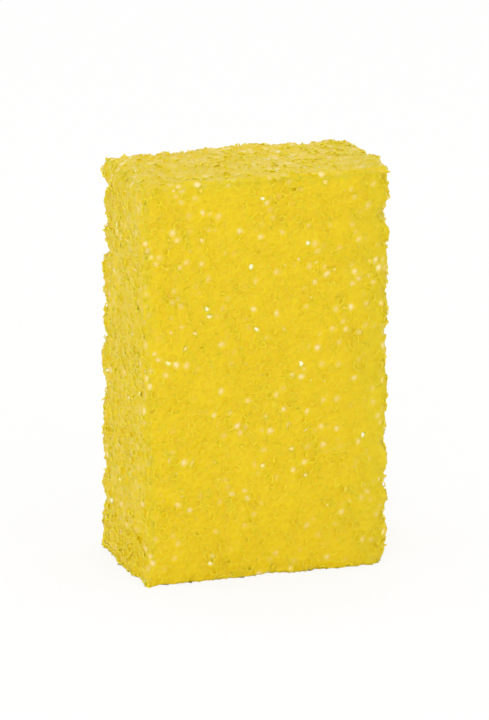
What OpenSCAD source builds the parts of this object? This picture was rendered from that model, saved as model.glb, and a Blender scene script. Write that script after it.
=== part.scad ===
// Cleaning sponge
// One block of coarse open-cell foam, sawn to a brick shape and standing on a short end.
// Each face is a lattice of torn cells, and each cell is a pit inside a raised rim.
// Millimetres, +Z up. The origin is the middle of the underside, and the front looks to -Y.

/* [Block] */
// Width of the block across its broad front
block_w = 70; // [60:1:80]
// Depth of the block from front to back
block_d = 40; // [30:1:50]
// Height of the block, standing on a short end
block_h = 111; // [90:1:125]
// Radius to which the corners are worn
edge_r = 1.2; // [0.5:0.1:3]
// How much of the corners' lean out of square is kept
lean = 1; // [0:0.1:1.5]

/* [Foam] */
// Spacing of the torn cells
cell_pitch = 3.5; // [3.3:0.1:6]
// Depth of a torn cell below its rim
cell_depth = 1.5; // [0.2:0.1:1.7]
// Rise and fall of the rims from one to the next
rim_rough = 0.3; // [0:0.05:0.5]
// Height of the crumbly lobes between two notches
lobe_height = 1; // [0:0.1:1.6]
// Spacing of the crumbly lobes
lobe_pitch = 9; // [6:0.5:16]
// Depth of the notches torn out of the upright corners
notch_depth = 1.1; // [0:0.1:1.8]
// Seed of the random cells and lobes
seed = 5; // [1:1:99]

/* [Hidden] */

foam_yellow = "#EACB30";
block = [block_w, block_d, block_h];

// How far each corner leans out of square, in x and z: four at the foot and four at the top,
// each four running from front left to front right, back right and back left.
foot_lean = [[1.6, 0], [-0.2, 0], [0.6, 0], [-0.6, 0]];
top_lean = [[0.2, 0.1], [-1, 1.3], [1.5, 0.6], [0.4, 0.2]];

// Where the notches lie on the upright corners, as shares of the height.
back_left_notches = [0.13, 0.21, 0.43, 0.56, 0.645, 0.785, 0.857, 0.931];
front_right_notches = [0.053, 0.133, 0.312, 0.58, 0.69, 0.82, 0.9];
notch_w = 2.4;     // half width of a notch along its corner
notch_reach = 5;   // how far a notch reaches over the faces beside it

// The lattice of rims: cells across, front to back and up.
nx = round(block_w / cell_pitch);
ny = round(block_d / cell_pitch);
nz = round(block_h / cell_pitch);
around = 2 * (nx + ny);
rim_jitter = 0.3;        // how far a rim point strays, as a share of the pitch
edge_pit_share = 0.5;  // pits beside an edge are shallower, so two faces' pits stay apart
face_lobe_share = 0.3; // lobes on the open faces are lower than along the edges
edge_reach = 7;        // how far the full lobes reach in from an edge
lobe_mean = 0.45;      // lifts the valleys so that the lobes stand about the sawn face
swell = 0.4;           // slow unevenness of the sawn faces
swell_pitch = 26;
foot_bulge = 1.5;      // how far the left side spreads above the foot
saw_cut = 0.6;         // how much the underside is sawn away to lie level

// One random number from -1 to 1 for each whole number.
table_size = 4096;
random_table = rands(-1, 1, table_size, seed);
function random_at(n) = random_table[((n % table_size) + table_size) % table_size];
function lattice_random(i, j, k) = random_at(i * 131 + j * 977 + k * 29);

// Smooth random field from -1 to 1: the lattice's numbers blended along x, y and z.
function blend(a, b, t) = a + (b - a) * t;
function ease(t) = t * t * (3 - 2 * t);
function row(i, j, k, f) = blend(lattice_random(i, j, k), lattice_random(i + 1, j, k), f[0]);
function sheet(i, j, k, f) = blend(row(i, j, k, f), row(i, j + 1, k, f), f[1]);
function field(p) =
    let (i = floor(p[0]), j = floor(p[1]), k = floor(p[2]))
    let (f = [ease(p[0] - i), ease(p[1] - j), ease(p[2] - k)])
    blend(sheet(i, j, k, f), sheet(i, j, k + 1, f), f[2]);

// Round lobes with narrow valleys between them, about zero on average.
function lobes(p) = lobe_height * (min(1, 2.4 * abs(field(p / lobe_pitch))) - lobe_mean);

// How far a point on the surface is from the nearest edge: the middle one of its three
// distances from the faces.
function face_distances(u) = [for (a = [0:2]) min(u[a], 1 - u[a]) * block[a]];
function edge_distance(u) =
    let (d = face_distances(u))
    d[0] + d[1] + d[2] - min(d) - max(d);
function lobe_share(u) = blend(face_lobe_share, 1, exp(-pow(edge_distance(u) / edge_reach, 2)));

// Lean of the block at u, blended from the eight corners.
function corner_blend(four, u) =
    blend(blend(four[0], four[1], u[0]), blend(four[3], four[2], u[0]), u[1]);
function lean_at(u) =
    let (xz = blend(corner_blend(foot_lean, u), corner_blend(top_lean, u), u[2]))
    lean * [xz[0], 0, xz[1]];

// How far the left side bulges out at u, just above the foot and half way back.
function bulge_at(u) = [-foot_bulge * (1 - u[0]) * sin(180 * u[1]) * pow(1 - u[2], 8), 0, 0];

// Share of a notch that is left at u, for the upright corner that stands at corner in x and y.
function notch_share(u, corner) =
    let (off = norm([(u[0] - corner[0]) * block_w, (u[1] - corner[1]) * block_d]) / notch_reach)
    exp(-off * off);

// Depth of the notches at u for one upright corner.
function notches(u, corner, heights) =
    let (each_one = [for (h = heights) exp(-pow((u[2] - h) * block_h / notch_w, 2))])
    notch_depth * notch_share(u, corner) * max(each_one);

// How far the level of u moves to meet the notch that lies within half a level of it.
function level_shift(u, corner, heights) =
    let (near = [for (h = heights) if (abs(h - u[2]) < 0.5 / nz) h - u[2]])
    len(near) == 0 ? 0 : near[0] * notch_share(u, corner);

// Outward direction on the block with worn edges, and the point there. The underside has no
// wear, because it is sawn.
function core(p) =
    [for (a = [0:2]) let (low = a == 2 ? 0 : edge_r - block[a] / 2)
        min(max(p[a], low), block[a] / (a == 2 ? 1 : 2) - edge_r)];
function outward(p) =
    let (q = p - core(p), flat = [q[0], q[1], max(q[2], 0)])
    flat / max(norm(flat), 0.001);

// The worn, leaning, lobed surface at u, where u runs from 0 to 1 in x, y and z.
function surface_point(u) =
    let (p = [(u[0] - 0.5) * block_w, (u[1] - 0.5) * block_d, u[2] * block_h])
    let (n = outward(p))
    let (notch = notches(u, [0, 1], back_left_notches) + notches(u, [1, 0], front_right_notches))
    let (height = lobe_share(u) * lobes(p) + swell * field(p / swell_pitch) - notch)
    core(p) + n * (edge_r + height) + lean_at(u) + bulge_at(u);

// A rim point of the lattice: its place on the surface, shifted along the faces it lies on and
// raised or lowered a little. Points of the underside all lie below the saw cut.
function along(i, n, r) = (i == 0 || i == n) ? i / n : (i + rim_jitter * r) / n;
function rim_point(i, j, k) =
    let (r = [for (a = [1:4]) random_at(i * 71 + j * 389 + k * 1543 + a * 601)])
    let (v = [along(i, nx, r[0]), along(j, ny, r[1]), k / nz])
    let (left = level_shift(v, [0, 1], back_left_notches))
    let (right = level_shift(v, [1, 0], front_right_notches))
    let (stray = along(k, nz, r[2]) - k / nz)
    let (nearby = max(notch_share(v, [0, 1]), notch_share(v, [1, 0])))
    let (calm = left == 0 && right == 0 ? 1 : 1 - nearby)
    let (u = [v[0], v[1], v[2] + left + right + stray * calm])
    let (p = surface_point(u))
    k == 0
        ? [p[0], p[1], -saw_cut * (0.65 + 0.35 * r[3])]
        : p + outward([(u[0] - 0.5) * block_w, (u[1] - 0.5) * block_d, u[2] * block_h])
            * rim_rough * r[3];

// The rims: a ring of points round the sides at each level, then the points inside the top and
// inside the underside.
function ring_place(s) =
    s < nx ? [s, 0]
    : s < nx + ny ? [nx, s - nx]
    : s < 2 * nx + ny ? [2 * nx + ny - s, ny]
    : [0, around - s];
function ring_at(i, j) = j == 0 ? i : i == nx ? nx + j : j == ny ? 2 * nx + ny - i : around - j;
ring_points = [for (k = [0:nz], s = [0:around - 1]) let (q = ring_place(s)) rim_point(q[0], q[1], k)];
inner = (nx - 1) * (ny - 1);
top_points = [for (j = [1:ny - 1], i = [1:nx - 1]) rim_point(i, j, nz)];
foot_points = [for (j = [1:ny - 1], i = [1:nx - 1]) rim_point(i, j, 0)];
rims = concat(ring_points, top_points, foot_points);

function cap_index(i, j, k) =
    (i == 0 || i == nx || j == 0 || j == ny)
        ? k * around + ring_at(i, j) % around
        : (nz + 1) * around + (k == 0 ? inner : 0) + (j - 1) * (nx - 1) + i - 1;

// Every cell as its four rim points, counter-clockwise from outside, with its share of the depth.
function beside_edge(i, n) = i == 0 || i == n - 1;
side_cells = [for (k = [0:nz - 1], s = [0:around - 1])
    let (a = k * around + s, b = k * around + (s + 1) % around)
    let (along_face = s % (nx + ny), at_corner = beside_edge(along_face, nx)
        || along_face >= nx && beside_edge(along_face - nx, ny))
    [[a, b, b + around, a + around], at_corner || beside_edge(k, nz) ? edge_pit_share : 1]];
top_cells = [for (j = [0:ny - 1], i = [0:nx - 1])
    [[cap_index(i, j, nz), cap_index(i + 1, j, nz),
        cap_index(i + 1, j + 1, nz), cap_index(i, j + 1, nz)],
        beside_edge(i, nx) || beside_edge(j, ny) ? edge_pit_share : 1]];
foot_cells = [for (j = [0:ny - 1], i = [0:nx - 1])
    [[cap_index(i, j + 1, 0), cap_index(i + 1, j + 1, 0),
        cap_index(i + 1, j, 0), cap_index(i, j, 0)],
        beside_edge(i, nx) || beside_edge(j, ny) ? edge_pit_share : 1]];
cells = concat(side_cells, top_cells, foot_cells);

// The pit of a cell: the middle of its rim, pushed in square to the two diagonals.
function pit_point(c, r) =
    let (q = [for (v = c[0]) rims[v]])
    let (n = cross(q[2] - q[0], q[3] - q[1]))
    (q[0] + q[1] + q[2] + q[3]) / 4 - n / norm(n) * cell_depth * c[1] * (1 + 0.4 * r);
pits = [for (m = [0:len(cells) - 1]) pit_point(cells[m], random_at(m * 7 + 3))];

// The middle of the whole form in x and y, so that the block stands centred on its origin.
points = concat(rims, pits);
function span_middle(a) = let (v = [for (p = points) p[a]]) (min(v) + max(v)) / 2;
middle = [span_middle(0), span_middle(1), 0];

// The rough block before its underside is sawn level.
module rough_block() {
    translate(-middle)
        polyhedron(
            points = points,
            faces = [for (m = [0:len(cells) - 1], e = [0:3])
                [cells[m][0][(e + 1) % 4], cells[m][0][e], len(rims) + m]]
        );
}

module sponge() {
    color(foam_yellow)
        difference() {
            rough_block();
            translate([-block_w, -block_d, -block_h])
                cube([2 * block_w, 2 * block_d, block_h]);
        }
}

sponge();
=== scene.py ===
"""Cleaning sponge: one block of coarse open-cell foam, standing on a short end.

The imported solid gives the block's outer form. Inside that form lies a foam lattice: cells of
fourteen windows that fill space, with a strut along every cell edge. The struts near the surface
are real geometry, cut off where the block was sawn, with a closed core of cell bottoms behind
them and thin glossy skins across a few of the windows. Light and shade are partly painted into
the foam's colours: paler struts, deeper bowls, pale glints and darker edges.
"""

import logging
import math
from dataclasses import dataclass
from enum import Enum

import bpy
import numpy as np
from mathutils import Matrix


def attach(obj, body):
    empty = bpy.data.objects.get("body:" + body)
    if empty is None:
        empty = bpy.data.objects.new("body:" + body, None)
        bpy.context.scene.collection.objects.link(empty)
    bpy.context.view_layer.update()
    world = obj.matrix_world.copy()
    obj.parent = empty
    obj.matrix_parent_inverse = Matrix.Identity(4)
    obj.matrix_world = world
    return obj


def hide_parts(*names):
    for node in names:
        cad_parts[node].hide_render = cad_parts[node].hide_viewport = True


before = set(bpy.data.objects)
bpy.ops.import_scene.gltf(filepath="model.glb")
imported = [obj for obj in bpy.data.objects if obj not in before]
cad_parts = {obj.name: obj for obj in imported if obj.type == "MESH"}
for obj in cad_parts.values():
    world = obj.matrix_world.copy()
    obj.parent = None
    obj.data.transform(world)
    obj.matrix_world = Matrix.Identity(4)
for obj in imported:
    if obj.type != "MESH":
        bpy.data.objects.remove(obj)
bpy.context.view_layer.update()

LOG = logging.getLogger("sponge")
MM = 0.001  # metres
FLOOR_GAP = 0.02  # mm that the lowest foam stands clear of the floor
NODE = "sponge"
BODY = "root"
BAKE_MAP = "OFBake"  # name of the cell map that each flat-shaded piece gets


class Side(Enum):
    """A side of the block, as its axis and the way that it faces along it."""

    LEFT = (0, -1)
    RIGHT = (0, 1)
    FRONT = (1, -1)
    BACK = (1, 1)
    FOOT = (2, -1)
    TOP = (2, 1)

    @property
    def axis(self) -> int:
        """The axis that the side is square to."""
        return self.value[0]

    @property
    def sign(self) -> int:
        """Whether the side faces up or down that axis."""
        return self.value[1]

    @property
    def across(self) -> tuple[int, int]:
        """The two axes that run along the side."""
        return tuple(a for a in range(3) if a != self.axis)


SIDES = list(Side)


def linear(hex_colour: str) -> tuple[float, float, float, float]:
    """Turns an sRGB hex colour into the linear colour that a shader takes.

    Args:
        hex_colour: six hex digits, with or without a leading hash.

    Returns:
        Red, green, blue and an alpha of 1.
    """
    digits = hex_colour.lstrip("#")
    parts = [int(digits[k : k + 2], 16) / 255 for k in (0, 2, 4)]
    curve = [c / 12.92 if c <= 0.04045 else ((c + 0.055) / 1.055) ** 2.4 for c in parts]
    return (*curve, 1.0)


def unit(vectors: np.ndarray) -> np.ndarray:
    """Each vector divided by its own length."""
    return vectors / np.maximum(np.linalg.norm(vectors, axis=-1, keepdims=True), 1e-9)


def cell_map(counts: np.ndarray) -> np.ndarray:
    """A map for textures with one cell of a square grid for each face.

    A face's corners lie on its cell's corners, a tenth of the cell in, so that no colour runs
    over from the next face.

    Args:
        counts: how many corners each face has, at most four.

    Returns:
        (n, 2) places from 0 to 1, one for each corner of each face.
    """
    columns = math.ceil(math.sqrt(len(counts)))
    face = np.repeat(np.arange(len(counts)), counts)
    corner = np.arange(len(face)) - np.repeat(np.cumsum(counts) - counts, counts)
    square = np.array([[0.1, 0.1], [0.9, 0.1], [0.9, 0.9], [0.1, 0.9]])
    return (np.stack([face % columns, face // columns], 1) + square[corner]) / columns


def new_piece(
    name: str,
    points: np.ndarray,
    polygons: list[np.ndarray],
    attributes: dict[str, np.ndarray] | None = None,
    smooth: bool = False,
) -> bpy.types.Object:
    """Puts whole arrays into a new mesh object at the origin.

    Args:
        name: the piece's name.
        points: (n, 3) positions in millimetres.
        polygons: arrays of point numbers, one row a face, each array with its own corner count.
        attributes: a value for each point, by attribute name.
        smooth: whether the faces are shaded as one smooth surface. Others get a cell map.

    Returns:
        The linked object.
    """
    mesh = bpy.data.meshes.new(name)
    filled = [p for p in polygons if len(p)]
    counts = np.concatenate([np.full(len(p), p.shape[1], np.int32) for p in filled])
    corners = np.concatenate([p.ravel() for p in filled]).astype(np.int32)
    starts = np.concatenate([[0], np.cumsum(counts)[:-1]]).astype(np.int32)
    mesh.vertices.add(len(points))
    mesh.vertices.foreach_set("co", (points * MM).astype(np.float32).ravel())
    mesh.loops.add(len(corners))
    mesh.loops.foreach_set("vertex_index", corners)
    mesh.polygons.add(len(counts))
    mesh.polygons.foreach_set("loop_start", starts)
    mesh.polygons.foreach_set("loop_total", counts)
    mesh.polygons.foreach_set("use_smooth", np.full(len(counts), smooth))
    for title, values in (attributes or {}).items():
        layer = mesh.attributes.new(title, "FLOAT", "POINT")
        layer.data.foreach_set("value", values.astype(np.float32))
    if not smooth:
        places = mesh.uv_layers.new(name=BAKE_MAP)
        places.data.foreach_set("uv", cell_map(counts).astype(np.float32).ravel())
    mesh.update(calc_edges=True)
    mesh.validate()
    piece = bpy.data.objects.new(name, mesh)
    bpy.context.scene.collection.objects.link(piece)
    return piece


def pressed(points: np.ndarray) -> np.ndarray:
    """The points, with those under the floor raised to it, as the foam's weight flattens them."""
    return np.column_stack([points[:, :2], np.maximum(points[:, 2], FLOOR_GAP)])


def turn_about(axis: int, degrees: float) -> np.ndarray:
    """The matrix of a turn about one axis, from the angle's cosine and sine.

    Args:
        axis: 0, 1 or 2 for x, y or z.
        degrees: how far it turns.

    Returns:
        (3, 3) the matrix.
    """
    first, second = (axis + 1) % 3, (axis + 2) % 3
    angle = math.radians(degrees)
    matrix = np.eye(3)
    matrix[[first, second], [first, second]] = math.cos(angle)
    matrix[second, first], matrix[first, second] = math.sin(angle), -math.sin(angle)
    return matrix


def facing(points: np.ndarray, faces: np.ndarray, outward: np.ndarray) -> np.ndarray:
    """Turns faces round where their normal points against the way given.

    The normal is the cross product of the face's first two edges from its first corner, or of
    the two diagonals of a quad.

    Args:
        points: (n, 3) positions.
        faces: (m, 3) or (m, 4) point numbers.
        outward: (m, 3) ways that the faces should look.

    Returns:
        The faces, reversed where needed.
    """
    a, b, c = (points[faces[:, k]] for k in range(3))
    last = points[faces[:, -1]]
    normal = np.cross(c - a, last - b) if faces.shape[1] == 4 else np.cross(b - a, c - a)
    wrong = np.einsum("ij,ij->i", normal, outward) < 0
    return np.where(wrong[:, None], faces[:, ::-1], faces)


@dataclass
class SawnForm:
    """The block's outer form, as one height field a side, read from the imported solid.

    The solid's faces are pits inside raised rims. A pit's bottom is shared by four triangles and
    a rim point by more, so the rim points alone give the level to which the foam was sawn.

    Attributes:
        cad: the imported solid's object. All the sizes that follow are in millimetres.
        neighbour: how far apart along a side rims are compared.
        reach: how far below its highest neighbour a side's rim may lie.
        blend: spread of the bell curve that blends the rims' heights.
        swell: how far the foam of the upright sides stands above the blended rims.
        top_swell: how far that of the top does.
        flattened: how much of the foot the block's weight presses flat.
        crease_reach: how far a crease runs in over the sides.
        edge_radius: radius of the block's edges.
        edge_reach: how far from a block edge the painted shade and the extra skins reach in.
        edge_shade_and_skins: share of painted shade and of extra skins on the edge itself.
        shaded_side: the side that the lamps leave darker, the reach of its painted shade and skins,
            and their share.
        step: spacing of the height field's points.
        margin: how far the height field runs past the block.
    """

    cad: bpy.types.Object
    neighbour: float = 4.5
    reach: float = 2.4
    blend: float = 1.3
    swell: float = 0.88
    top_swell: float = 0.8
    flattened: float = 1.5
    crease_reach: float = 7.0
    edge_radius: float = 2.8
    edge_reach: float = 2.2
    edge_shade_and_skins: float = 0.45
    # painted shade: the foam darkens towards the right side, as if less lit there
    shaded_side: tuple[Side, float, float] = (Side.RIGHT, 9.0, 0.42)
    step: float = 0.7
    margin: float = 4.0

    PIT_TRIANGLES = 4  # triangles that meet at a pit's bottom
    CREASES = {  # place as a share of the edge's length, depth in mm, and mm to either side
        (Side.LEFT, Side.BACK): (
            (-0.01, -1.6, 3.5), (0.045, 0.7, 3.5), (0.14, 0.6, 5.0), (0.21, 0.6, 3.0),
            (0.235, -0.4, 5.0), (0.33, 0.4, 7.0), (0.4, 0.7, 11.0), (0.5, -0.8, 4.0),
            (0.558, 0.7, 4.0), (0.635, 1.1, 5.0), (0.772, 1.0, 4.0), (0.842, 1.2, 3.5),
            (0.93, 0.6, 3.0), (0.955, 0.8, 4.0),
        ),
        (Side.RIGHT, Side.FRONT): (
            (0.0, 2.2, 4.5), (0.1, 0.5, 3.0), (0.155, -1.1, 5.0), (0.204, 1.0, 2.5),
            (0.237, 1.0, 2.5), (0.27, -0.4, 4.0), (0.312, 0.6, 3.0), (0.385, 0.6, 5.0),
            (0.56, 0.7, 5.0), (0.635, 0.6, 8.0), (0.69, 0.4, 4.0), (0.74, 1.1, 5.0),
            (0.8, -0.5, 6.0), (0.842, -1.1, 3.5), (0.88, 1.2, 3.5), (0.91, -0.5, 3.0),
            (0.968, 1.2, 4.0), (1.01, -2.2, 2.5),
        ),
        (Side.LEFT, Side.FRONT): ((0.0, -1.8, 6.0),),
        (Side.BACK, Side.TOP): (
            (0.02, -0.5, 3.0), (0.16, 0.5, 5.0), (0.39, 0.5, 7.0), (0.57, -0.8, 6.0),
            (0.77, 0.4, 6.0),
        ),
        (Side.RIGHT, Side.TOP): ((0.4, -0.9, 14.0),),
    }

    def __post_init__(self) -> None:
        """Reads the rims and lays out a height field for each side."""
        rims = self.rim_points()
        self.low, self.high = rims.min(0), rims.max(0)
        self.low[2] = 0.0
        self.fields = {side: self.height_field(side, rims) for side in SIDES}

    def rim_points(self) -> np.ndarray:
        """The solid's points that more triangles share than a pit's bottom.

        Returns:
            (n, 3) positions in millimetres.
        """
        mesh = self.cad.data
        places = np.empty(len(mesh.vertices) * 3, np.float32)
        mesh.vertices.foreach_get("co", places)
        corners = np.empty(len(mesh.loops), np.int32)
        mesh.loops.foreach_get("vertex_index", corners)
        micron = np.round(places.reshape(-1, 3) / MM * 1000).astype(np.int64)
        merged, which = np.unique(micron, axis=0, return_inverse=True)
        shared = np.bincount(which.ravel()[corners], minlength=len(merged))
        return merged[shared > self.PIT_TRIANGLES] / 1000.0

    def height_field(self, side: Side, rims: np.ndarray) -> np.ndarray:
        """How far out the side stands over a grid of its own two axes.

        A grid point's height is the mean of the rims' heights, weighted by a bell curve of
        their distance, less the depth of any crease.

        Args:
            side: the side of the block.
            rims: (n, 3) rim points.

        Returns:
            A grid of heights in millimetres along the side's outward axis.
        """
        grid = np.stack(np.meshgrid(*map(self.grid_line, side.across), indexing="ij"), -1)
        if side is Side.FOOT:
            return np.full(grid.shape[:2], self.flattened)
        outward = rims[:, side.axis] * side.sign
        along = rims[:, side.across]
        apart = ((along[:, None] - along) ** 2).sum(-1)
        local = np.where(apart < self.neighbour**2, outward, -np.inf).max(1)
        own = outward > local - self.reach
        gaps = ((grid[:, :, None] - along[own]) ** 2).sum(-1)
        weights = np.exp(-gaps / (2 * self.blend**2)) + 1e-9
        blended = (weights * outward[own]).sum(-1) / weights.sum(-1)
        swell = self.top_swell if side is Side.TOP else self.swell
        return blended + swell - self.creases(side, grid)

    def creases(self, side: Side, grid: np.ndarray) -> np.ndarray:
        """Depth of the creases that run in over a side from its edges.

        A crease's depth falls with the square of the way along the edge to either side, and a
        lobe, which is a crease of negative depth, is a parabola along it. Both fall evenly with
        the distance from the edge.

        Args:
            side: the side of the block.
            grid: (m, n, 2) places along the side's two axes.

        Returns:
            Depths in millimetres.
        """
        depth = np.zeros(grid.shape[:2])
        for pair, tears in self.CREASES.items():
            if side not in pair:
                continue
            other = pair[1 - pair.index(side)]
            edge = (self.high if other.sign > 0 else self.low)[other.axis]
            off = np.abs(grid[..., side.across.index(other.axis)] - edge) / self.crease_reach
            along = 3 - side.axis - other.axis
            shares, depths, shoulders = np.array(tears).T
            places = self.low[along] + shares * (self.high[along] - self.low[along])
            apart = np.abs(grid[..., side.across.index(along), None] - places) / shoulders
            shape = np.where(depths > 0, (1 - apart).clip(0) ** 2, (1 - apart**2).clip(0))
            depth += (1 - off).clip(0) * (depths * shape).sum(-1)
        return depth

    def grid_line(self, axis: int) -> np.ndarray:
        """The places of the height fields' grid lines along an axis.

        Args:
            axis: 0, 1 or 2 for x, y or z.

        Returns:
            Places in millimetres, a step apart.
        """
        start = self.low[axis] - self.margin
        count = math.ceil((self.high[axis] - self.low[axis] + 2 * self.margin) / self.step) + 1
        return start + self.step * np.arange(count)

    def height(self, side: Side, points: np.ndarray) -> np.ndarray:
        """The side's height over each point, blended from the four nearest grid points.

        Args:
            side: the side of the block.
            points: (n, 3) positions.

        Returns:
            A height in millimetres for each point, along the side's outward axis.
        """
        heights = self.fields[side]
        start = np.array([self.low[k] - self.margin for k in side.across])
        place = (points[:, side.across] - start) / self.step
        place = np.clip(place, 0, np.array(heights.shape) - 1.001)  # just short of the last line
        cell = place.astype(int)
        s, t = (place - cell).T
        i, j = cell.T
        near = heights[i, j] * (1 - s) + heights[i + 1, j] * s
        far = heights[i, j + 1] * (1 - s) + heights[i + 1, j + 1] * s
        return near * (1 - t) + far * t

    def depths(self, points: np.ndarray) -> np.ndarray:
        """How far each point lies inside each side: (6, n), negative outside."""
        return np.stack([self.height(s, points) - s.sign * points[:, s.axis] for s in SIDES])

    def rounded(self, depths: np.ndarray) -> np.ndarray:
        """Depth of points under the block's rounded surface.

        It is the edge radius less the length of the vector of the depths' shortfalls from that
        radius, or the least depth where that is greater.

        Args:
            depths: (6, n) depths of the points inside the six sides.

        Returns:
            A depth for each point.
        """
        short = np.linalg.norm((self.edge_radius - depths).clip(0), axis=0)
        return np.where(short > 0, self.edge_radius - short, depths.min(0))

    def edge_share(self, depths: np.ndarray) -> np.ndarray:
        """Share of painted shade and of extra skins: most on the block edges and near the shaded
        side.

        It falls as a bell curve of the distance to the second nearest side, which is 0 on an
        edge, or of the distance to the shaded side where that gives more.

        Args:
            depths: (6, n) depths of the points inside the six sides.

        Returns:
            A share for each point.
        """
        shaded_side, reach, most = self.shaded_side
        second = np.sort(depths, 0)[1]
        # painted shade along the block's edges
        near_edge = self.edge_shade_and_skins * np.exp(-((second / self.edge_reach).clip(0) ** 2))
        # painted shade towards the shaded side
        near_side = most * np.exp(-((depths[SIDES.index(shaded_side)] / reach).clip(0) ** 2))
        return np.maximum(near_edge, near_side)


@dataclass
class CellLattice:
    """Foam cells of fourteen windows, stacked as bubbles of one size settle, then disturbed.

    A junction of the regular stack has one coordinate of 0, one of 2 and one odd, in quarters of
    the cube that holds two cells. Its four struts run half a cube face away, and its six windows
    lie between them. The stack is turned against the block, then bent by slow waves, and each
    junction is moved a little at random.

    Attributes:
        cube: side of the cube that holds two cells, in millimetres.
        turn: turn about x, y and z in degrees.
        rise: how long the cells are along x, y and z, as foam cells are along its rise.
        waves: how many slow waves bend the stack.
        wave_length: shortest and longest wave in millimetres.
        strain: how much each wave stretches the stack, as a share.
        jitter: random move of a junction, as a share of the cube.
        seed: seed of everything random here.
    """

    cube: float = 2.7
    turn: tuple[float, float, float] = (37.0, 12.0, 21.0)
    rise: tuple[float, float, float] = (1.0, 1.3, 1.0)
    waves: int = 12
    wave_length: tuple[float, float] = (5.5, 18.0)
    strain: float = 0.15
    jitter: float = 0.075
    seed: int = 5

    PAIRS = ((0, 1), (2, 3), (0, 2), (0, 3), (1, 2), (1, 3))  # the struts beside each window
    SQUARE_PAIRS = 2  # the first two pairs of struts hold a square window between them
    UNBENDING = 4  # rounds in which the waves are taken off again
    PAD = 2  # quarters of a cube that a strut or a window may reach past the junctions

    def __post_init__(self) -> None:
        """Draws the waves and works out the turn."""
        self.rng = np.random.default_rng(self.seed)
        low, high = self.wave_length
        self.wave_numbers = 2 * np.pi / self.rng.uniform(low, high, self.waves)
        self.wave_ways = unit(self.rng.standard_normal((self.waves, 3)))
        moves = unit(self.rng.standard_normal((self.waves, 3)))
        self.wave_moves = moves * (self.strain / self.wave_numbers)[:, None]
        self.wave_starts = self.rng.uniform(0, 2 * np.pi, self.waves)
        about_x, about_y, about_z = (turn_about(k, t) for k, t in enumerate(self.turn))
        self.turned = about_z @ about_y @ about_x

    def bent(self, points: np.ndarray) -> np.ndarray:
        """Each point moved by the sum of the waves: a sine of its place along each wave."""
        phase = points @ (self.wave_ways * self.wave_numbers[:, None]).T + self.wave_starts
        return points + np.sin(phase) @ self.wave_moves

    def in_cubes(self, points: np.ndarray) -> np.ndarray:
        """Where points lie in the regular stack.

        The rise is undone, and then the waves in a few rounds: each takes from the point what
        the waves add at the last round's place.

        Args:
            points: (n, 3) positions in millimetres.

        Returns:
            (n, 3) places in cubes from the stack's middle.
        """
        points = self.centre + (points - self.centre) / self.rise
        back = points
        for _ in range(self.UNBENDING):
            back = points - (self.bent(back) - back)
        return (back - self.centre) @ self.turned / self.cube

    def lay(self, low: np.ndarray, high: np.ndarray, shell: float) -> None:
        """Works out the junctions between a box and the same box drawn in on all sides.

        Args:
            low: lowest corner of the outer box in millimetres.
            high: highest corner of the outer box.
            shell: how far the inner box is drawn in.
        """
        centre = (low + high) / 2
        reach = math.ceil(np.linalg.norm(high - low) / 2 / self.cube) + 1
        line = np.arange(-reach, reach + 1)
        cubes = 4 * np.stack(np.meshgrid(line, line, line, indexing="ij"), -1).reshape(-1, 1, 3)
        orders = [(0, 1, 2), (0, 2, 1), (1, 0, 2), (1, 2, 0), (2, 0, 1), (2, 1, 0)]
        basis = np.zeros((12, 3), int)
        for row, (_, two, odd) in enumerate(orders):
            basis[2 * row : 2 * row + 2, two] = 2
            basis[2 * row, odd], basis[2 * row + 1, odd] = 1, 3
        codes = (cubes + basis).reshape(-1, 3)
        places = self.bent(codes * (self.cube / 4) @ self.turned.T + centre)
        places = centre + (places - centre) * self.rise
        outer = ((places > low) & (places < high)).all(1)
        inner = ((places > low + shell) & (places < high - shell)).all(1)
        self.codes, self.places = codes[outer & ~inner], places[outer & ~inner]
        self.places = self.places + self.rng.normal(0, self.jitter * self.cube, self.places.shape)
        self.centre = centre
        self.link()

    def link(self) -> None:
        """Finds each junction's four neighbours, and a code for each of its six windows.

        The two struts on the side of the odd coordinate where it reaches a 2 mod 4 also step
        along the axis that has the 2, and the other two step along the axis that has the 0. A
        square window's middle lies half way between two struts' far ends, and a six-sided one's
        at their sum.
        """
        rest = self.codes % 4
        eye = np.eye(3, dtype=int)
        odd, zero, two = (eye[np.argmax(m, 1)] for m in (rest % 2 == 1, rest == 0, rest == 2))
        up = np.where((rest * odd).sum(1) == 1, 1, -1)[:, None] * odd
        steps = np.stack([up + two, up - two, zero - up, -zero - up], 1)
        base = self.codes.min(0) - self.PAD
        size = self.codes.max(0) - base + self.PAD + 1
        number = np.full(size, -1, np.int32)
        number[tuple((self.codes - base).T)] = np.arange(len(self.codes))
        ends = self.codes[:, None] + steps - base
        self.neighbours = number[ends[..., 0], ends[..., 1], ends[..., 2]]
        squares = [self.codes + up, self.codes - up]
        sixes = self.PAIRS[self.SQUARE_PAIRS :]
        others = [self.codes + steps[:, a] + steps[:, b] for a, b in sixes]
        windows = np.stack(squares + others, 1) - base + self.PAD
        size = size + 2 * self.PAD
        self.windows = (windows[..., 0] * size[1] + windows[..., 1]) * size[2] + windows[..., 2]
        self.offsets = windows - self.PAD + base - self.codes[:, None]


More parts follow.
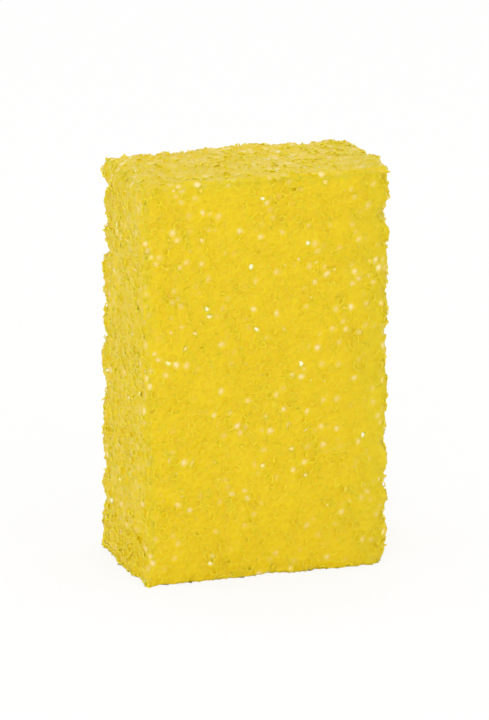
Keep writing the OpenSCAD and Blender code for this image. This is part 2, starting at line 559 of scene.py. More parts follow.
@dataclass
class StrutNet:
    """The open net of struts in the outer layer of the foam, one piece a side of the block.

    Every junction has a rim point in each of its six windows, on the line that halves the angle
    between the window's two struts. A strut is the three-sided prism between the rim points that
    two junctions share, with its ridges along the windows, as foam struts have. Where a
    neighbour was sawn off, the strut ends in a stub at the sawn face.

    Attributes:
        form: the block's outer form.
        lattice: the foam cells.
        depth: how deep the net reaches, in millimetres.
        thickness: half thickness of a strut in millimetres.
        uneven: how much the thickness differs from junction to junction, as a share.
        swelling: how much a junction is swollen where its struts meet.
        stand: how far the struts stand out past the sawn level, in millimetres.
        tear: how much deeper than the sawn face a torn junction may lie, in millimetres.
        seed: seed of everything random here.
    """

    form: SawnForm
    lattice: CellLattice
    depth: float = 1.7
    thickness: float = 0.18
    uneven: float = 0.22
    swelling: float = 1.15
    stand: float = 0.05
    tear: float = 0.18
    seed: int = 17

    SPARE = 4  # cubes by which the lattice runs in past the net
    PRUNED = 2  # rounds in which loose ends are taken off
    WIDEST = 3  # most that a rim point lies from its junction, in half thicknesses
    STUB = (0.0, 0.25)  # least and greatest share of its way to the sawn face that a stub keeps
    LEAST_STUB = 0.8  # stub length in half thicknesses
    TAPER = 0.8  # thickness of a stub's end, as a share of its root

    def __post_init__(self) -> None:
        """Places every junction and its rim points, and marks those that the net keeps."""
        self.rng = np.random.default_rng(self.seed)
        lat = self.lattice
        margin = np.full(3, self.stand + lat.cube)
        lat.lay(self.form.low - margin, self.form.high + margin, self.depth + self.SPARE * lat.cube)
        depths = self.form.depths(lat.places) + self.stand
        # share of painted edge shade and of extra skins at each junction
        self.thin = self.form.edge_share(depths)
        self.level = self.form.rounded(depths)
        self.side = depths.argmin(0)
        torn = self.rng.uniform(0, self.tear, len(self.level)) ** 2 / self.tear
        near = lat.neighbours
        self.kept = (self.level > torn) & (self.level < self.depth) & (near >= 0).all(1)
        for _ in range(self.PRUNED):
            company = (self.kept[near] & (near >= 0)).sum(1)
            self.kept &= (company > 1) | (self.level > self.depth / 2)
        self.ways = unit(lat.places[near] - lat.places[:, None])
        pairs = np.array(lat.PAIRS)
        first, second = self.ways[:, pairs[:, 0]], self.ways[:, pairs[:, 1]]
        half = self.thickness * (1 + self.rng.uniform(-self.uneven, self.uneven, len(self.level)))
        gap = np.linalg.norm(first - second, axis=-1)[..., None]
        reach = 2 * half[:, None, None] / gap.clip(1e-6)
        reach = np.minimum(reach, self.WIDEST * self.thickness) * self.swelling
        self.half = half
        self.rims = lat.places[:, None] + unit(first + second) * reach

    @staticmethod
    def around(strut: int) -> list[int]:
        """The numbers of the three windows that touch a strut."""
        return [w for w, pair in enumerate(CellLattice.PAIRS) if strut in pair]

    def build(self) -> list[bpy.types.Object]:
        """Makes one mesh piece for each side of the block."""
        return [self.build_side(k, side) for k, side in enumerate(SIDES)]

    def build_side(self, number: int, side: Side) -> bpy.types.Object:
        """Makes the net of one side.

        Args:
            number: the side's place in the list of sides.
            side: the side.

        Returns:
            The piece.
        """
        mine = np.flatnonzero(self.kept & (self.side == number))
        slot = np.full(len(self.kept), -1)
        slot[mine] = np.arange(len(mine))
        points = [self.rims[mine].reshape(-1, 3)]
        owners = [np.repeat(mine, 6)]
        faces, total = [], len(mine) * 6
        for strut in range(4):
            faces.append(self.corner_faces(mine, slot, strut, points[0]))
            extra, kinds, total, owner = self.strut_faces(mine, slot, strut, points, total)
            points.append(extra)
            owners.append(owner)
            faces.extend(kinds)
        name = f"foam_net_{side.name.lower()}"
        owner = np.concatenate(owners)
        # depth feeds the ramp of painted light and shade; thin feeds the painted edge shade
        tones = {"depth": (self.level[owner] / self.depth).clip(0, 1), "thin": self.thin[owner]}
        return new_piece(name, pressed(np.concatenate(points)), faces, tones)

    def corner_faces(
        self, mine: np.ndarray, slot: np.ndarray, strut: int, points: np.ndarray
    ) -> np.ndarray:
        """The face that each junction turns to the cell across from one of its struts.

        Args:
            mine: numbers of the piece's junctions.
            slot: each junction's place in the piece, or -1.
            strut: which of the four struts.
            points: the piece's rim points.

        Returns:
            (n, 3) point numbers.
        """
        windows = [w for w, pair in enumerate(CellLattice.PAIRS) if strut not in pair]
        faces = slot[mine][:, None] * 6 + np.array(windows)
        return facing(points, faces, -self.ways[mine, strut])

    def strut_faces(
        self,
        mine: np.ndarray,
        slot: np.ndarray,
        strut: int,
        points: list[np.ndarray],
        total: int,
    ) -> tuple[np.ndarray, list[np.ndarray], int, np.ndarray]:
        """The sides and ends of one of the four struts of every junction of a piece.

        A strut within the piece is made once, by the junction with the lower number. One that
        leaves the piece, or was sawn off, gets its own far end and a cap.

        Args:
            mine: numbers of the piece's junctions.
            slot: each junction's place in the piece, or -1.
            strut: which of the four struts.
            points: the piece's points so far, the rim points first.
            total: how many points the piece has so far.

        Returns:
            The new points, the faces, the new total, and the new points' junctions.
        """
        far = self.lattice.neighbours[mine, strut]
        windows = np.array(self.around(strut))
        near_rims = slot[mine][:, None] * 6 + windows
        alive = self.kept[far]
        inside = alive & (slot[far] >= 0) & (mine < far)
        leaves = alive & (slot[far] < 0)
        owned = leaves & (mine < far)
        sawn = ~alive
        middle = (self.lattice.places[mine] + self.lattice.places[far]) / 2
        match = self.matching(mine, far, windows)
        spans = [(mine[inside], near_rims[inside], slot[far[inside]][:, None] * 6 + match[inside])]
        ends = [self.rims[far[owned]][np.arange(owned.sum())[:, None], match[owned]]]
        ends.append(self.stub_ends(mine[sawn], far[sawn], strut, windows))
        grown = np.concatenate(ends).reshape(-1, 3)
        fresh = total + np.arange(len(grown)).reshape(-1, 3)
        open_ends = np.concatenate([np.flatnonzero(owned), np.flatnonzero(sawn)])
        spans.append((mine[open_ends], near_rims[open_ends], fresh))
        everything = np.concatenate([*points, grown])
        middles = [middle[inside], middle[open_ends]]
        faces = []
        for (_, near, away), centre in zip(spans, middles):
            for k, m in ((0, 1), (1, 2), (2, 0)):
                quad = np.stack([near[:, k], near[:, m], away[:, m], away[:, k]], 1)
                faces.append(facing(everything, quad, everything[quad].mean(1) - centre))
        ways = self.ways[mine, strut]
        faces.append(facing(everything, fresh, ways[open_ends]))
        shut = leaves & ~owned
        faces.append(facing(everything, near_rims[shut], ways[shut]))
        return grown, faces, total + len(grown), np.repeat(mine[open_ends], 3)

    def matching(self, near: np.ndarray, far: np.ndarray, windows: np.ndarray) -> np.ndarray:
        """Finds each of a strut's three windows at the far junction, by its code.

        Args:
            near: the struts' own junctions.
            far: the junctions at their other ends.
            windows: the windows' numbers at the near junctions.

        Returns:
            (n, 3) the windows' numbers at the far junctions.
        """
        ours = self.lattice.windows[near][:, windows]
        theirs = self.lattice.windows[far]
        return (ours[:, :, None] == theirs[:, None, :]).argmax(-1)

    def stub_ends(
        self, near: np.ndarray, far: np.ndarray, strut: int, windows: np.ndarray
    ) -> np.ndarray:
        """The three end points of each sawn strut.

        The end lies where the strut crosses the sawn level, found from the levels of its two
        junctions, and the points are the rim points' offsets square to the strut, drawn in.

        Args:
            near: junctions that are kept.
            far: their neighbours that aren't.
            strut: which of the four struts.
            windows: the strut's three windows.

        Returns:
            (n, 3, 3) positions.
        """
        way = self.ways[near, strut]
        span = np.linalg.norm(self.lattice.places[far] - self.lattice.places[near], axis=1)
        high, low = self.level[near], self.level[far]
        share = np.where(low < 0, high / np.maximum(high - low, 1e-6), 1.0)
        share = share * self.rng.uniform(*self.STUB, len(share))
        length = np.maximum(share * span, self.LEAST_STUB * self.half[near])
        offset = self.rims[near][:, windows] - self.lattice.places[near][:, None]
        along = np.einsum("nwk,nk->nw", offset, way)
        square = offset - along[..., None] * way[:, None]
        start = self.lattice.places[near][:, None]
        return start + way[:, None] * length[:, None, None] + square * self.TAPER


@dataclass
class CellWindows:
    """Thin glossy skins left across a few windows of the cells, with painted pale cream highlights.

    Attributes:
        net: the strut net whose windows they close.
        shares: how many of the windows are closed on the sides square to x, y and z.
        edge_share: how many more are closed along the block's edges.
        bulge: how far a skin's middle stands from its rim either way, in millimetres.
        blown: least and greatest height of one that looks out of the block and is blown up.
        thickness: the skin's thickness at its middle in millimetres.
        paleness: the two shape values of the spread of the skins' painted highlight from 0 to 1.
        rim: painted highlight of a skin's rim as a share of that at its middle.
        seed: seed of everything random here.
    """

    net: StrutNet
    shares: tuple[float, float, float] = (0.2, 0.14, 0.3)
    edge_share: float = 0.3
    bulge: float = 0.14
    blown: tuple[float, float] = (0.1, 0.35)
    thickness: float = 0.05
    paleness: tuple[float, float] = (0.5, 1.2)
    rim: float = 0.5
    seed: int = 29

    LOOKS_OUT = 0.5  # least cosine between a window and its side for it to look out

    def __post_init__(self) -> None:
        """Starts the random numbers."""
        self.rng = np.random.default_rng(self.seed)

    def build(self) -> bpy.types.Object:
        """Makes all the skins as one piece, each a closed lens between its rim points.

        The rim points of the kept junctions are sorted by their window's code. A window with
        all its corners there is whole, and chance picks those that are closed.

        Returns:
            The piece.
        """
        net, lattice = self.net, self.net.lattice
        kept = np.flatnonzero(net.kept)
        codes = lattice.windows[kept].ravel()
        owners = np.repeat(kept, 6)
        numbers = np.tile(np.arange(6), len(kept))
        order = np.argsort(codes, kind="stable")
        codes, owners, numbers = codes[order], owners[order], numbers[order]
        starts = np.flatnonzero(np.r_[True, codes[1:] != codes[:-1]])
        counts = np.diff(np.r_[starts, len(codes)])
        square = numbers[starts] < CellLattice.SQUARE_PAIRS
        ways = np.array([side.sign * np.eye(3)[side.axis] for side in SIDES])
        points, faces, tones, total = [], [], [], 0
        for corners, kind in ((4, square), (6, ~square)):
            whole = starts[kind & (counts == corners)]
            out = ways[net.side[owners[whole]]]
            likely = np.abs(out) @ self.shares + self.edge_share * net.thin[owners[whole]]
            chosen = self.rng.random(len(whole)) < likely
            members = whole[chosen][:, None] + np.arange(corners)
            rims = self.in_order(owners[members], numbers[members])
            made, shapes = self.lenses(rims, out[chosen], total)
            points.append(made)
            faces.append(shapes)
            # painted highlight: each skin pales to cream at its middle, less at its rim
            pale = self.rng.beta(*self.paleness, len(rims))
            shares = np.r_[np.full(corners, self.rim), np.ones(corners + 2)]
            tones.append((pale[:, None] * shares).ravel())
            total += len(made)
        points, tone = pressed(np.concatenate(points)), np.concatenate(tones)
        return new_piece("cell_windows", points, faces, {"pale": tone})

    def in_order(self, owners: np.ndarray, numbers: np.ndarray) -> np.ndarray:
        """The rim points of each window, in order round it.

        Their order is that of the angle from the first corner, about the axis square to the
        window in the regular stack.

        Args:
            owners: (n, corners) junctions.
            numbers: (n, corners) the window's number at each junction.

        Returns:
            (n, corners, 3) positions.
        """
        offsets = -self.net.lattice.offsets[owners, numbers].astype(float)
        first = offsets[:, :1]
        second = np.cross(first, offsets[:, 1:2])
        third = np.cross(first, offsets[:, 2:3])
        axis = unit(np.where(np.abs(second).sum(-1, keepdims=True) > 0.5, second, third))
        sine = (np.cross(first, offsets) * axis).sum(-1)
        cosine = (first * offsets).sum(-1)
        turn = np.argsort(np.arctan2(sine, cosine), axis=1)
        rims = self.net.rims[owners, numbers]
        return np.take_along_axis(rims, turn[..., None], axis=1)

    def lenses(
        self, rims: np.ndarray, outward: np.ndarray, total: int
    ) -> tuple[np.ndarray, np.ndarray]:
        """Closes each ring of rim points with a dome above and a fan below.

        A dome has a ring of points half way in, at three quarters of its height, as a round
        arch has, and the fan's middle lies at half of it. A window that looks out of the block
        is blown that way.

        Args:
            rims: (n, corners, 3) rim points.
            outward: (n, 3) way out of the block at each window.
            total: how many points the piece has so far.

        Returns:
            The points, and the triangles.
        """
        count, corners = rims.shape[:2]
        middle = rims.mean(1)
        spokes = rims - middle[:, None]
        normal = unit(np.cross(spokes, np.roll(spokes, -1, 1)).sum(1))
        looks = np.einsum("ij,ij->i", normal, outward)[:, None]
        blown = np.sign(looks) * self.rng.uniform(*self.blown, (count, 1))
        slack = self.rng.normal(0, self.bulge, (count, 1))
        lift = np.where(np.abs(looks) > self.LOOKS_OUT, blown, slack)
        above = np.where(lift > 0, 1, -1) * self.thickness
        ring = middle[:, None] + spokes * 0.5 + (normal * (lift * 0.75 + above))[:, None]
        fronts, backs = middle + normal * (lift + above), middle + normal * lift * 0.5
        points = np.concatenate([rims, ring, fronts[:, None], backs[:, None]], 1)
        base = total + np.arange(count)[:, None] * (2 * corners + 2)
        here, ahead = np.arange(corners), (np.arange(corners) + 1) % corners
        kinds = (
            (here, ahead, ahead + corners),
            (here, ahead + corners, here + corners),
            (here + corners, ahead + corners, np.full(corners, 2 * corners)),
            (ahead, here, np.full(corners, 2 * corners + 1)),
        )
        faces = np.concatenate([base[..., None] + np.stack(k, -1) for k in kinds], 1)
        faces = np.where(lift[..., None] > 0, faces, faces[..., ::-1])
        return points.reshape(-1, 3), faces.reshape(-1, 3)


@dataclass
class FoamCore:
    """The closed body of foam behind the net, with a bowl for each cell that it cuts.

    Attributes:
        form: the block's outer form.
        lattice: the foam cells.
        depth: how far the core's rims lie below the sides square to x, y and z, in millimetres.
        edge_depth: how much deeper they lie along the block's edges.
        bowl: how deep the bowls are below the rims on those sides, in millimetres.
        skins: share of the bowls with a painted glint spot on the sides square to x, y and z.
        edge_glints: how many more have one along the block's edges and near the shaded side.
        dyed: how fast the painted glints' paleness falls off from the palest to the others.
        spots: least and greatest power of the bowl's depth by which a painted glint pales to its
            middle.
        closeness: what that power is times on the sides square to x, y and z.
        pitch: spacing of the mesh in millimetres.
        seed: seed of the cells' random numbers.
    """

    form: SawnForm
    lattice: CellLattice
    depth: tuple[float, float, float] = (0.28, 0.55, 0.25)
    edge_depth: float = 0.2
    bowl: tuple[float, float, float] = (0.6, 0.65, 0.55)
    # shares of bowls with painted glint spots, pale cream highlights
    skins: tuple[float, float, float] = (0.32, 0.25, 0.75)
    edge_glints: float = 0.6
    dyed: float = 2.0
    spots: tuple[float, float] = (4.0, 12.0)
    closeness: tuple[float, float, float] = (0.55, 1.15, 0.5)
    pitch: float = 0.575
    seed: int = 41

    REPEAT = 64  # cells after which the random numbers come round again
    SLOPE = 0.5  # cubes by which the two distances differ where a bowl is deepest

    def build(self) -> bpy.types.Object:
        """Makes the core as a box of grids, joined along their edges.

        Each point is placed on the core's surface and then sunk by its bowl. A bowl has a painted
        glint spot, pale to its middle, where its own random number falls under the share for that
        side.

        Returns:
            The piece.
        """
        spans = self.form.high - self.form.low
        counts = np.round(spans / self.pitch).astype(int)
        shape = counts + 1
        lines = [np.arange(n) for n in shape]
        cells = np.stack(np.meshgrid(*lines, indexing="ij"), -1)
        surface = ((cells == 0) | (cells == counts)).any(-1)
        number = np.full(tuple(shape), -1, int)
        number[surface] = np.arange(surface.sum())
        share = cells[surface] / counts
        points, normals, thin = self.place(share)
        bowls, drawn, spread = self.bowls(points)
        points = points - normals * (normals**2 @ np.array(self.bowl) * bowls)[:, None]
        # painted glint spots: a few bowls pale to cream at their middles
        likely = (normals**2) @ np.array(self.skins) + self.edge_glints * thin
        narrow = self.spots[0] + (self.spots[1] - self.spots[0]) * spread
        narrow *= normals**2 @ np.array(self.closeness)
        pale = (1 - drawn / likely).clip(0) ** self.dyed * bowls**narrow
        faces = []
        for side in SIDES:
            sheet = np.take(number, 0 if side.sign < 0 else -1, axis=side.axis)
            quads = np.stack([sheet[:-1, :-1], sheet[1:, :-1], sheet[1:, 1:], sheet[:-1, 1:]], -1)
            quads = quads.reshape(-1, 4)
            outward = np.zeros((len(quads), 3))
            outward[:, side.axis] = side.sign
            faces.append(facing(share, quads, outward))
        # depth feeds the ramp, deeper in the bowls' middles as painted shade; thin the painted edge
        # shade; pale the painted glints
        tones = {"depth": 1 + bowls, "thin": thin, "pale": pale}
        return new_piece("foam_core", pressed(points), faces, tones, smooth=True)

    def place(self, share: np.ndarray) -> tuple[np.ndarray, np.ndarray, np.ndarray]:
        """Puts shares of the box on the core's surface, and gives the ways out of it.

        Along each axis a point lies at its share of the way from the low side's height to the
        high side's, both drawn in by the core's depth. Near an edge the vector of the depths'
        shortfalls from the edge radius is scaled down to its length on an open side. That
        vector also points the way out.

        Args:
            share: (n, 3) places from 0 to 1 in the box.

        Returns:
            Positions, unit normals, and the share of painted edge shade and extra glint spots at
            each point.
        """
        form = self.form
        points = form.low + share * (form.high - form.low)
        for side in (s for s in SIDES if s.sign > 0):
            low = SIDES[SIDES.index(side) - 1]
            depth = self.depth[side.axis]
            start = depth - form.height(low, points)
            end = form.height(side, points) - depth
            points[:, side.axis] = start + share[:, side.axis] * (end - start)
        depths = form.depths(points)
        short = (form.edge_radius - depths).clip(0)
        ways = np.stack([short[1] - short[0], short[3] - short[2], short[5] - short[4]], 1)
        length = np.linalg.norm(ways, axis=1, keepdims=True).clip(1e-6)
        normals = ways / length
        aslant = 2 - 2 * (normals**2).max(1)  # 0 on a side, and 1 half way round an edge
        radius = form.edge_radius - normals**2 @ np.array(self.depth) - self.edge_depth * aslant
        points -= ways * (1 - radius[:, None] / length).clip(0)
        return points, normals, form.edge_share(depths)

    def bowls(self, points: np.ndarray) -> tuple[np.ndarray, np.ndarray, np.ndarray]:
        """How far into a bowl each point lies, and two random numbers that its cell shares.

        The cells' middles lie on the cubes' corners and centres. The difference between a
        point's distances to the two nearest middles is 0 on a wall between their cells, and
        the value rises from 0 there to 1 in a cell's middle.

        Args:
            points: (n, 3) positions.

        Returns:
            A value and two numbers from 0 to 1 for each point.
        """
        place = self.lattice.in_cubes(points)
        near, next_near = self.two_nearest(place)
        near_middle, next_middle = self.two_nearest(place - 0.5)
        first = np.minimum(near, near_middle)
        second = np.minimum(
            np.maximum(near, near_middle), np.where(near < near_middle, next_near, next_middle)
        )
        gap = ((second - first) / self.SLOPE).clip(0, 1)
        corner = near < near_middle
        cell = np.where(corner[:, None], 2 * np.round(place), 2 * np.round(place - 0.5) + 1)
        drawn = np.random.default_rng(self.seed).random((2, *(self.REPEAT,) * 3))
        first, second = drawn[:, *(cell.astype(int) % self.REPEAT).T]
        return gap * (2 - gap), first, second

    @staticmethod
    def two_nearest(place: np.ndarray) -> tuple[np.ndarray, np.ndarray]:
        """Distances to the nearest and the next nearest whole-numbered points.

        The next nearest is one step off along the axis with the greatest rest.

        Args:
            place: (n, 3) places.

        Returns:
            The two distances for each place.
        """
        rest = np.abs(place - np.round(place))
        near = (rest**2).sum(1)
        return np.sqrt(near), np.sqrt(near + 1 - 2 * rest.max(1))


def node(
    tree: bpy.types.NodeTree, kind: str, links: dict | None = None, **settings: object
) -> bpy.types.Node:
    """Adds a node, with its settings and its links.

    Args:
        tree: the node tree.
        kind: the node's type name.
        links: what feeds each input: an output socket, or a plain value.
        settings: the node's own properties.

    Returns:
        The node.
    """
    made = tree.nodes.new(kind)
    for name, value in settings.items():
        setattr(made, name, value)
    for name, source in (links or {}).items():
        if isinstance(source, bpy.types.NodeSocket):
            tree.links.new(source, made.inputs[name])
        else:
            made.inputs[name].default_value = source
    return made


def new_material(name: str) -> tuple[bpy.types.Material, bpy.types.NodeTree]:
    """A material with an empty node tree.

    Args:
        name: the material's name.

    Returns:
        The material and its tree.
    """
    material = bpy.data.materials.new(name)
    material.use_nodes = True
    material.node_tree.nodes.clear()
    return material, material.node_tree


@dataclass(frozen=True)
class Polyurethane:
    """Soft clear polymer with a yellow dye, which light wanders through before it comes out.

    Attributes:
        ior: its refractive index.
        gloss: how strongly its face mirrors the lamps, where 0.5 is a clean hard face.
        soft: how far in millimetres red light wanders inside it.
        wander: how far red, green and blue light wander, as shares of that.
    """

    ior: float = 1.5
    gloss: float = 0.2
    soft: float = 0.45
    wander: tuple[float, float, float] = (1.0, 0.85, 0.3)

    def finish(
        self,
        tree: bpy.types.NodeTree,
        colour: bpy.types.NodeSocket,
        roughness: bpy.types.NodeSocket | float,
    ) -> None:
        """Ends a material with the polymer's own shader.

        Args:
            tree: the material's node tree.
            colour: what feeds the colour.
            roughness: what feeds the roughness, or its value.
        """
        polymer = {
            "Base Color": colour,
            "Roughness": roughness,
            "IOR": self.ior,
            "Specular IOR Level": self.gloss,
            "Subsurface Weight": 1.0,
            "Subsurface Scale": self.soft * MM,
            "Subsurface Radius": self.wander,
        }
        shader = node(tree, "ShaderNodeBsdfPrincipled", polymer)
        node(tree, "ShaderNodeOutputMaterial", {"Surface": shader.outputs["BSDF"]})


@dataclass(frozen=True)
class OpenCellFoam(Polyurethane):
    """Yellow polyurethane ether foam, slab-foamed and sawn.

    Its struts are soft clear polymer with a yellow dye. Light and shade are painted into the
    colour: the struts paler at the sawn face, deeper yellow further in and in the bowls' middles,
    and pale painted glints on the struts.

    Attributes:
        outer: colour of the struts at the sawn face, painted paler as lit.
        inner: colour of the struts at the net's foot.
        deep: colour of the cell bottoms behind the net, painted deeper as shade in the bowls.
        thin: colour of painted shade, darker and greener, along the edges and the shaded side.
        shade_strength: how far the foam goes towards that painted shade at most.
        skin: colour of the palest painted glint spot on a cell bottom.
        patch: size in millimetres of the slow patches of lighter and deeper foam.
        mottling: how much the patches shift the colour, as steps of depth.
        highlight_dash_size: size in millimetres of the fine noise that paints pale highlight dashes
            along the struts and sets their roughness.
        highlight_dashes: how much those painted highlight dashes shift the colour, as steps of
            depth.
        roughness: lowest and highest roughness.
    """

    name: str = "polyurethane_foam"
    # painted light and shade: paler struts at the sawn face, deeper yellow inward
    outer: str = "#E9D32C"
    inner: str = "#E4CA16"
    deep: str = "#E4C613"
    # painted shade along the edges and the shaded side
    thin: str = "#C8BE24"
    shade_strength: float = 0.7
    # painted glint spots
    skin: str = "#F7E3A4"
    patch: float = 4.0
    mottling: float = 0.4
    # painted highlight dashes along the struts
    highlight_dash_size: float = 0.5
    highlight_dashes: float = 3.0
    roughness: tuple[float, float] = (0.25, 0.45)

    MIDDLE = 0.5  # the middle of a noise's values
    SPAN = (0.3, 0.7)  # where most of them lie

    def build(self) -> bpy.types.Material:
        """Makes the material.

        Slow noise of random tone and the fine noise of the painted highlight dashes shift each
        point's depth, a ramp turns the depth into a colour with painted light and shade, and the
        painted edge shade and painted glint spots are mixed in by their own shares.

        Returns:
            The material.
        """
        material, tree = new_material(self.name)
        place = node(tree, "ShaderNodeTexCoord").outputs["Object"]
        depth, thin, pale = (
            node(tree, "ShaderNodeAttribute", attribute_name=title).outputs["Fac"]
            for title in ("depth", "thin", "pale")
        )
        patches = {"Vector": place, "Scale": 1 / (self.patch * MM), "Detail": 2.0}
        lines = {"Vector": place, "Scale": 1 / (self.highlight_dash_size * MM), "Detail": 1.0}
        slow, fine = (
            node(tree, "ShaderNodeTexNoise", noise).outputs["Fac"] for noise in (patches, lines)
        )
        # slow patches are random tone; the fine noise paints highlight dashes
        for noise, strength in ((slow, self.mottling), (fine, self.highlight_dashes)):
            about = node(tree, "ShaderNodeMath", {0: noise, 1: -self.MIDDLE}, operation="ADD")
            shift = {0: about.outputs[0], 1: strength, 2: depth}
            depth = node(tree, "ShaderNodeMath", shift, operation="MULTIPLY_ADD").outputs[0]
        half = {0: depth, 1: 0.5}  # depths run from 0 to 2, and the ramp from 0 to 1
        along = node(tree, "ShaderNodeMath", half, operation="MULTIPLY")
        # painted light and shade: paler at the sawn face, deeper yellow inward and in the bowls'
        # middles
        ramp = node(tree, "ShaderNodeValToRGB", {"Fac": along.outputs[0]})
        stops = ramp.color_ramp.elements
        stops[0].position, stops[0].color = 0.0, linear(self.outer)
        stops[1].position, stops[1].color = 1.0, linear(self.deep)
        stops.new(0.5).color = linear(self.inner)
        # painted edge shade, then the painted glint spots
        painted_shade = node(tree, "ShaderNodeMath", {0: thin, 1: self.shade_strength}, operation="MULTIPLY")
        colour = ramp.outputs["Color"]
        for share, tone in ((painted_shade.outputs[0], self.thin), (pale, self.skin)):
            mixed = {"Fac": share, "Color1": colour, "Color2": linear(tone)}
            colour = node(tree, "ShaderNodeMixRGB", mixed).outputs[0]
        spread = dict(zip(("From Min", "From Max", "To Min", "To Max"), self.SPAN + self.roughness))
        rough = node(tree, "ShaderNodeMapRange", {"Value": fine, **spread}).outputs["Result"]
        self.finish(tree, colour, rough)
        return material


@dataclass(frozen=True)
class WindowSkin(Polyurethane):
    """The foam's own polymer, blown to a film across a cell window.

    Its face is smooth as it set, so it flashes white where it mirrors a lamp. Pale cream spots
    are painted on as highlights, palest at a skin's middle.

    Attributes:
        pale: colour of the painted highlight at its palest.
        rosy: colour of one between the two.
        dyed: colour of a skin without painted highlight, the foam's own dyed yellow.
        roughness: its roughness.
    """

    gloss: float = 0.3
    soft: float = 0.1
    name: str = "polyurethane_film"
    pale: str = "#FDF2D4"
    rosy: str = "#F6DC98"
    dyed: str = "#E4C81A"
    roughness: float = 0.22

    def build(self) -> bpy.types.Material:
        """Makes the material: a ramp from dyed to the pale painted highlight over each skin's
        paleness.

        Returns:
            The material.
        """
        material, tree = new_material(self.name)
        pale = node(tree, "ShaderNodeAttribute", attribute_name="pale").outputs["Fac"]
        ramp = node(tree, "ShaderNodeValToRGB", {"Fac": pale})
        stops = ramp.color_ramp.elements
        stops[0].position, stops[0].color = 0.1, linear(self.dyed)
        stops[1].position, stops[1].color = 0.8, linear(self.pale)
        stops.new(0.45).color = linear(self.rosy)
        self.finish(tree, ramp.outputs["Color"], self.roughness)
        return material


@dataclass(frozen=True)
class PaintedFloor:
    """Matt white painted board. The eye sees a clean white ground with a soft contact shadow.

    Attributes:
        colour: the paint's colour.
        seen_share: how much of what the camera sees is plain white instead of lit paint.
    """

    name: str = "matt_white_paint"
    colour: str = "#F8F8F6"
    seen_share: float = 0.8

    def build(self) -> bpy.types.Material:
        """Makes the material: partly plain white to the camera, and paint to the light.

        Returns:
            The material.
        """
        material, tree = new_material(self.name)
        paint = node(tree, "ShaderNodeBsdfDiffuse", {"Color": linear(self.colour)})
        white = node(tree, "ShaderNodeEmission", {"Color": (1.0, 1.0, 1.0, 1.0), "Strength": 1.0})
        seen = node(tree, "ShaderNodeLightPath").outputs["Is Camera Ray"]
        share = node(tree, "ShaderNodeMath", {0: seen, 1: self.seen_share}, operation="MULTIPLY")
        both = {"Fac": share.outputs[0], 1: paint.outputs[0], 2: white.outputs[0]}
        mix = node(tree, "ShaderNodeMixShader", both)
        node(tree, "ShaderNodeOutputMaterial", {"Surface": mix.outputs[0]})
        return material


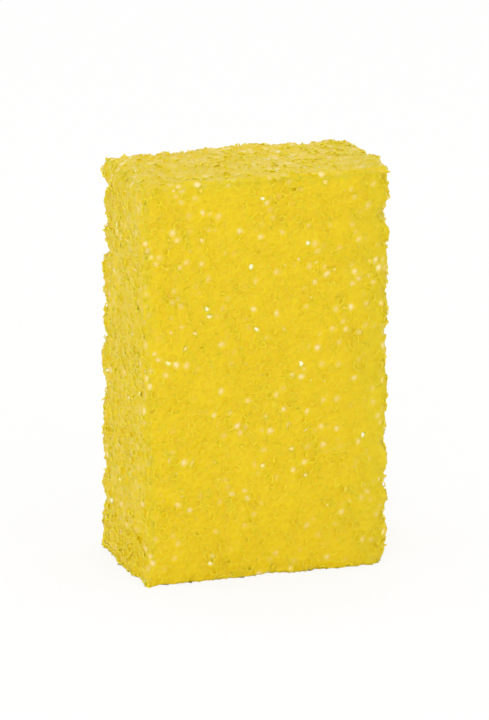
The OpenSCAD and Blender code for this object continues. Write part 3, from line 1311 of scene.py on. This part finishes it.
@dataclass
class Studio:
    """The floor, the soft lights and the camera.

    Attributes:
        floor_size: side of the floor in metres.
        azimuth: how far round the camera stands, in degrees, and below 0 to the block's left.
        elevation: how high above level it stands, in degrees.
        roll: how far it is tipped, in degrees.
        distance: how far from its aim it stands, in metres.
        lens: its focal length in millimetres.
        aim: what it and the lamps look at, in metres.
        shift: its lens shift across and up.
        lamp_size: side of each lamp in metres.
    """

    floor_size: float = 6.0
    azimuth: float = -18.09
    elevation: float = 15.83
    roll: float = 0.12
    distance: float = 1.1
    lens: float = 200.0
    aim: tuple[float, float, float] = (0.0, 0.0, 0.0555)
    shift: tuple[float, float] = (-0.0015, 0.0026)
    lamp_size: float = 0.1

    def build(self) -> None:
        """Makes the studio round the standing block."""
        self.camera()
        self.floor()
        self.lights()

    def camera(self) -> None:
        """A long lens, slightly above the block and to its left."""
        a, e, roll = (math.radians(t) for t in (self.azimuth, self.elevation, self.roll))
        back = np.array([math.sin(a) * math.cos(e), -math.cos(a) * math.cos(e), math.sin(e)])
        right = np.array([math.cos(a), math.sin(a), 0.0])
        up = np.cross(back, right)
        turned = right * math.cos(roll) + up * math.sin(roll)
        above = up * math.cos(roll) - right * math.sin(roll)
        data = bpy.data.cameras.new("camera")
        data.lens, data.clip_end = self.lens, 20.0
        data.shift_x, data.shift_y = self.shift
        camera = bpy.data.objects.new("camera", data)
        place = np.array(self.aim) + back * self.distance
        self.stand(camera, np.stack([turned, above, back]), place)
        bpy.context.scene.camera = camera

    def floor(self) -> None:
        """A square of painted board that the block stands on."""
        half = self.floor_size / 2 / MM
        corners = np.array([[-1, -1, 0], [1, -1, 0], [1, 1, 0], [-1, 1, 0]]) * half
        floor = new_piece("floor", corners, [np.array([[0, 1, 2, 3]])])
        floor.data.materials.append(PaintedFloor().build())

    def lights(self) -> None:
        """An even white room, a soft lamp close in front, and three farther ones for glints."""
        scene = bpy.context.scene
        world = bpy.data.worlds.new("room")
        world.use_nodes = True
        room = world.node_tree.nodes["Background"].inputs
        room["Color"].default_value, room["Strength"].default_value = (1.0, 1.0, 1.0, 1.0), 1.0
        scene.world = world
        self.lamp("key", (-0.16, -0.4, 0.06), 0.2)
        self.lamp("spark_left", (-0.6, -1.1, 0.5), 0.6)
        self.lamp("spark_right", (0.5, -1.1, 0.7), 0.6)
        self.lamp("spark_high", (-0.2, -0.5, 1.3), 0.9)
        scene.view_settings.view_transform = "Standard"

    def lamp(self, name: str, place: tuple[float, float, float], power: float) -> None:
        """A square soft lamp that looks at the block's middle.

        Args:
            name: its name.
            place: where it stands, in metres.
            power: its power in watts.
        """
        data = bpy.data.lights.new(name, "AREA")
        data.size, data.energy = self.lamp_size, power
        lamp = bpy.data.objects.new(name, data)
        way = np.array(place) - np.array(self.aim)
        back = way / np.linalg.norm(way)
        right = unit(np.cross([0.0, 0.0, 1.0], back))
        self.stand(lamp, np.stack([right, np.cross(back, right), back]), np.array(place))

    @staticmethod
    def stand(thing: bpy.types.Object, axes: np.ndarray, place: np.ndarray) -> None:
        """Puts a camera or a lamp in its place, and links it.

        Args:
            thing: the camera or lamp, which looks away from its third axis.
            axes: its own three axes, one a row.
            place: where it stands, in metres.
        """
        matrix = np.eye(4)
        matrix[:3, :3], matrix[:3, 3] = axes.T, place
        thing.matrix_world = Matrix(matrix.tolist())
        bpy.context.scene.collection.objects.link(thing)


def dress(piece: bpy.types.Object, material: bpy.types.Material) -> None:
    """Args:
        piece: the piece.
        material: its finish.
    """
    mesh = piece.data
    mesh.materials.append(material)
    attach(piece, BODY)
    triangles = len(mesh.loops) - 2 * len(mesh.polygons)
    LOG.info("%s: %d points, %d triangles", piece.name, len(mesh.vertices), triangles)


def main() -> None:
    """Builds the studio and the sponge."""
    logging.basicConfig(level=logging.INFO, format="%(name)s: %(message)s")
    Studio().build()
    form = SawnForm(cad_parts[NODE])
    lattice = CellLattice()
    net = StrutNet(form, lattice)
    foam = OpenCellFoam().build()
    for piece in net.build():
        dress(piece, foam)
    core = FoamCore(form, lattice).build()
    dress(core, foam)
    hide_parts(NODE)
    skins = CellWindows(net).build()
    dress(skins, WindowSkin().build())


if __name__ == "__main__":
    main()
